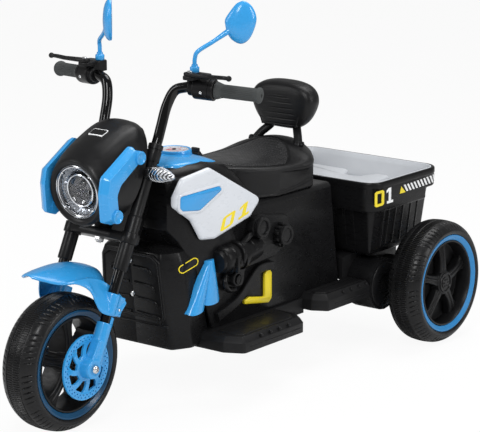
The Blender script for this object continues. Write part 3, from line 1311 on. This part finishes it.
def collar_plan(inset):
    """Plan of the collar under the rim band, which stops short of the back."""
    w, f, b = TUB_HALF_WIDTH - COLLAR_STEP, TUB_FRONT + COLLAR_STEP, TUB_BACK - COLLAR_BACK
    return plan([(-w, f), (w, f), (w, b), (-w, b)], [0.034, 0.034, 0.006, 0.006], inset, 4)


def tub_outer():
    """Black bin with its deep rim band, open at the top."""
    band = TUB_TOP - TUB_BAND
    foot = TUB_STEP + TUB_TAPER
    outside = loft([in_plane(tub_plan(foot + 0.008), "z", TUB_LOW), in_plane(tub_plan(foot), "z",
                                                                             TUB_LOW + 0.012),
                    in_plane(tub_plan(TUB_STEP), "z", band - 0.010),
                    in_plane(tub_plan(0.001), "z", band), in_plane(tub_plan(0.0), "z", band + 0.004),
                    in_plane(tub_plan(0.0), "z", TUB_TOP - 0.002), in_plane(tub_plan(0.0015), "z",
                                                                            TUB_TOP)])
    inside = loft([in_plane(tub_plan(foot + 0.008 + WALL), "z", TUB_LOW + WALL),
                   in_plane(tub_plan(foot + WALL), "z", TUB_LOW + 0.014),
                   in_plane(tub_plan(TUB_STEP + WALL), "z", band - 0.008),
                   in_plane(tub_plan(LINER_RIM), "z", band + 0.004),
                   in_plane(tub_plan(LINER_RIM), "z", TUB_TOP + 0.02)])
    collar = loft([in_plane(collar_plan(0.0030), "z", COLLAR_LOW), in_plane(collar_plan(0.0), "z",
                                                                            COLLAR_LOW + 0.003),
                   in_plane(collar_plan(0.0), "z", band + 0.005)])
    channel = loft([in_plane(collar_plan(WALL), "z", COLLAR_LOW + WALL), in_plane(collar_plan(WALL), "z",
                                                                                  band + 0.002)])
    add("tub_outer", cut(joined(outside, collar), inside, channel), BLACK)


def tub_liner():
    """Pale tray that drops into the bin, with a raised bench along its front and sides."""
    band = TUB_TOP - TUB_BAND
    lip = LINER_RIM + GAP
    foot = TUB_STEP + TUB_TAPER + WALL
    neck = TUB_STEP + WALL
    outside = loft([in_plane(tub_plan(foot + 0.004), "z", LINER_FLOOR - WALL),
                    in_plane(tub_plan(neck + 0.0015), "z", band - 0.006),
                    in_plane(tub_plan(lip), "z", band + 0.0055),
                    in_plane(tub_plan(lip), "z", TUB_TOP + 0.001)])
    inside = loft([in_plane(tub_plan(foot + 0.008), "z", LINER_FLOOR),
                   in_plane(tub_plan(neck + 0.0050), "z", band - 0.004),
                   in_plane(tub_plan(lip + 0.0070), "z", TUB_TOP - 0.008),
                   in_plane(tub_plan(lip + 0.0020), "z", TUB_TOP + 0.001 + GAP)])
    tray = cut(outside, inside)
    f, w = TUB_FRONT + neck, TUB_HALF_WIDTH - neck
    bench = slab(rounded([(-w, f), (w, f), (w, f + 0.090), (w - 0.060, f + 0.050), (-w + 0.060, f + 0.050),
                          (-w, f + 0.090)], [0.02, 0.02, 0.010, 0.012, 0.012, 0.010], 3),
                 "z", LINER_FLOOR - 0.001, BENCH_TOP, 0.006)
    limit = loft([in_plane(tub_plan(foot + 0.006), "z", LINER_FLOOR - 0.0015),
                  in_plane(tub_plan(neck + 0.0030), "z", BENCH_TOP + 0.001)])
    add("tub_liner", joined(tray, common(bench, limit)), GREY)


# Drive


def rear_axle():
    """Steel axle through carrier and gearboxes with a nut at each wheel."""
    face = REAR_TRACK_HALF + TYRE_HALF_WIDTH - SPOKE_RECESS + HUB_CROWN
    nut_end = face - HUB_CAP - RUNNING
    nut = nut_end - NUT_THICK
    profile = [(0.0, -nut_end), (NUT_RADIUS, -nut_end), (NUT_RADIUS, -nut), (AXLE_RADIUS, -nut),
               (AXLE_RADIUS, nut),
               (NUT_RADIUS, nut), (NUT_RADIUS, nut_end), (0.0, nut_end)]
    add("rear_axle", turned(profile, REAR_AXLE, (1, 0, 0), TUBE_STEPS), STEEL)


def drive_gearboxes():
    """Two gearboxes beside the carrier, each with its motor can, turning the rear wheels."""
    near = CARRIER_HALF_WIDTH + GAP
    far = REAR_TRACK_HALF - TYRE_HALF_WIDTH + HUB_BACK - RUNNING
    axle_r, motor_r = 0.036, 0.050
    motor = Vector((0.0, REAR_AXLE.y - 0.088, REAR_AXLE.z + 0.002))
    case = joined(rod((near, REAR_AXLE.y, REAR_AXLE.z), (far, REAR_AXLE.y, REAR_AXLE.z), axle_r, 16),
                  rod((near, motor.y, motor.z), (far - 0.022, motor.y, motor.z), motor_r, 20),
                  slab([Vector((motor.y, motor.z - 0.040)),
                        Vector((REAR_AXLE.y, REAR_AXLE.z - axle_r * 0.9)),
                        Vector((REAR_AXLE.y, REAR_AXLE.z + axle_r * 0.9)),
                        Vector((motor.y, motor.z + 0.040))],
                       "x", near, far - 0.030))
    bore = rod((near - 0.01, REAR_AXLE.y, REAR_AXLE.z), (far + 0.01, REAR_AXLE.y, REAR_AXLE.z),
               AXLE_RADIUS + GAP)
    add_pair("drive_gearbox", cut(case, bore, step_block(-GAP)), BLACK)


def battery():
    """Sealed battery standing on the deck inside the body."""
    outline = rounded([(-0.035, 0.060), (0.035, 0.060), (0.035, 0.150), (-0.035, 0.150)], 0.003, 1)
    low = DECK_TOP + GAP
    case = slab(outline, "z", low, low + 0.095)
    posts = [slab(rounded([(x - 0.004, 0.066), (x + 0.004, 0.066), (x + 0.004, 0.070), (x - 0.004, 0.070)],
                          0.0008, 1), "z", low + 0.090, low + 0.101) for x in (-0.024, 0.024)]
    add("battery", joined(case, *posts), GREY)


def build():
    """Make every piece of the bike."""
    clear_scene()
    front_wheel()
    rear_wheels()
    steering = empty("steering_pivot", AXIS_FOOT)
    fork_frame(steering)
    steering_stem(steering)
    fork_bars(steering)
    fork_feet(steering)
    front_axle(steering)
    front_fender(steering)
    headlight_cowl(steering)
    headlight(steering)
    cowl_brackets(steering)
    turn_signals(steering)
    grips(steering)
    switch_housings(steering)
    brake_levers(steering)
    mirrors(steering)
    thumb_button("horn_button", 1, steering)
    thumb_button("music_button", -1, steering)
    body_shells()
    footboard_deck()
    side_panels()
    leg_shields()
    foot_guards()
    tank_cover()
    dash_dial()
    start_key()
    accelerator_pedal()
    seat()
    backrest_hoop()
    backrest()
    tub_outer()
    tub_liner()
    rear_axle()
    drive_gearboxes()
    battery()


build()
